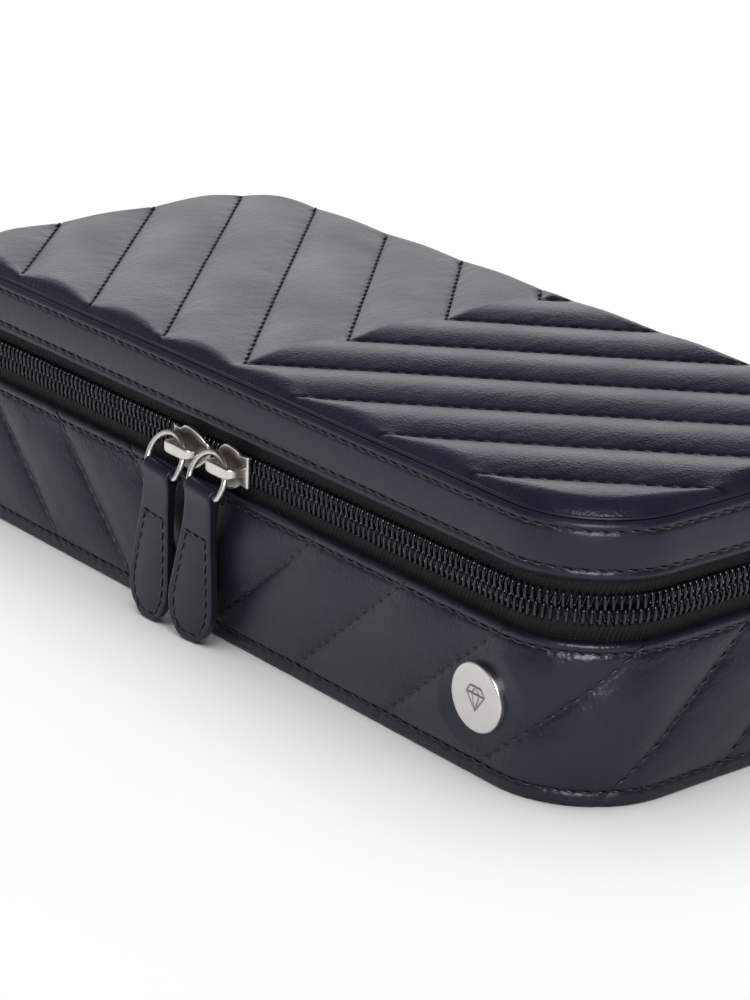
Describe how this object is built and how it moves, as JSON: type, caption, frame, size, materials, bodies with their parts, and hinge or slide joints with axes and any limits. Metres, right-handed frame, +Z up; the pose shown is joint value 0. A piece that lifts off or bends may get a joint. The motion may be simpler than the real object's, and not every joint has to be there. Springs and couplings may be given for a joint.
{
  "type": "leather jewellery case",
  "caption": "Zip-around leather jewellery case: quilted base, padded lid on a back hinge, coil zip with ring pulls, mirror, ring rolls and lift-out inserts.",
  "frame": {"origin": "centre of the case's underside, on the surface it stands on", "axes": "+Z up, +X to the right along the long front side, front with the pulls and badge faces -Y, hinge at +Y"},
  "size_m": [0.255, 0.1188, 0.0668],
  "materials": {
    "leather": "semi-matt, fine grain, near-black navy",
    "zip_tape": "black twill",
    "zip_coil": "glossy black nylon",
    "nickel": "satin nickel",
    "board": "raw greyboard",
    "suede": "brushed suede-like lining, taupe",
    "mirror": "silvered glass"
  },
  "bodies": {
    "base": {"base_underside_cover": "leather", "base_side_cover": "leather", "base_floor_board": "board", "base_wall_board": "board", "base_inner_rim": "leather", "base_liner": "suede", "zip_tape_base": "zip_tape", "zip_coil_base": "zip_coil", "hinge_strip_base": "leather", "zip_end_tab_left": "leather", "zip_end_tab_right": "leather", "badge_disc": "nickel", "badge_washer": "nickel"},
    "lid": {"lid_board": "board", "lid_lining": "suede", "lid_side_cover": "leather", "lid_inner_rim": "leather", "lid_top_piping": "leather", "lid_top_pad": "leather", "mirror_glass": "mirror", "mirror_frame": "leather", "zip_tape_lid": "zip_tape", "zip_coil_lid": "zip_coil", "hinge_strip_lid": "leather"},
    "slider_left": {"slider_left_body": "nickel"},
    "slider_right": {"slider_right_body": "nickel"},
    "ring_left": {"pull_ring_left": "nickel"},
    "ring_right": {"pull_ring_right": "nickel"},
    "pull_left": {"pull_tab_left": "leather"},
    "pull_right": {"pull_tab_right": "leather"},
    "ring_insert": {"ring_insert_shell": "suede", "ring_roll_1": "suede", "ring_roll_2": "suede", "ring_roll_3": "suede", "ring_roll_4": "suede", "ring_roll_5": "suede", "ring_roll_6": "suede"},
    "compartment_insert": {"compartment_insert_shell": "suede", "divider_long": "suede", "divider_front_1": "suede", "divider_front_2": "suede", "divider_back": "suede"}
  },
  "joints": [
    {"name": "lid_hinge", "type": "hinge", "parent": "base", "child": "lid", "pos_m": [0, 0.056, 0.04495], "axis": [-1, 0, 0], "range_deg": [0, 105]},
    {"name": "slider_left_run", "type": "slide", "parent": "base", "child": "slider_left", "axis": [-1, 0, 0], "range_m": [0, 0.086]},
    {"name": "slider_right_run", "type": "slide", "parent": "base", "child": "slider_right", "axis": [1, 0, 0], "range_m": [0, 0.086]},
    {"name": "ring_left_swing", "type": "hinge", "parent": "slider_left", "child": "ring_left", "pos_m": [-0.01265, -0.05757, 0.04495], "axis": [0, 1, 0], "range_deg": [-1, 9]},
    {"name": "ring_right_swing", "type": "hinge", "parent": "slider_right", "child": "ring_right", "pos_m": [0.00405, -0.05757, 0.04495], "axis": [0, 1, 0], "range_deg": [-13, 1]},
    {"name": "pull_left_lift", "type": "hinge", "parent": "ring_left", "child": "pull_left", "pos_m": [-0.01335, -0.06117, 0.03818], "axis": [-0.9969, 0, 0.0785], "range_deg": [-2, 100]},
    {"name": "pull_right_lift", "type": "hinge", "parent": "ring_right", "child": "pull_right", "pos_m": [0.00335, -0.06117, 0.03818], "axis": [-0.9969, 0, 0.0785], "range_deg": [-2, 100]},
    {"name": "ring_insert_lift", "type": "slide", "parent": "base", "child": "ring_insert", "axis": [0, 0, 1], "range_m": [0, 0.018]},
    {"name": "compartment_insert_lift", "type": "slide", "parent": "base", "child": "compartment_insert", "axis": [0, 0, 1], "range_m": [0, 0.018]}
  ]
}
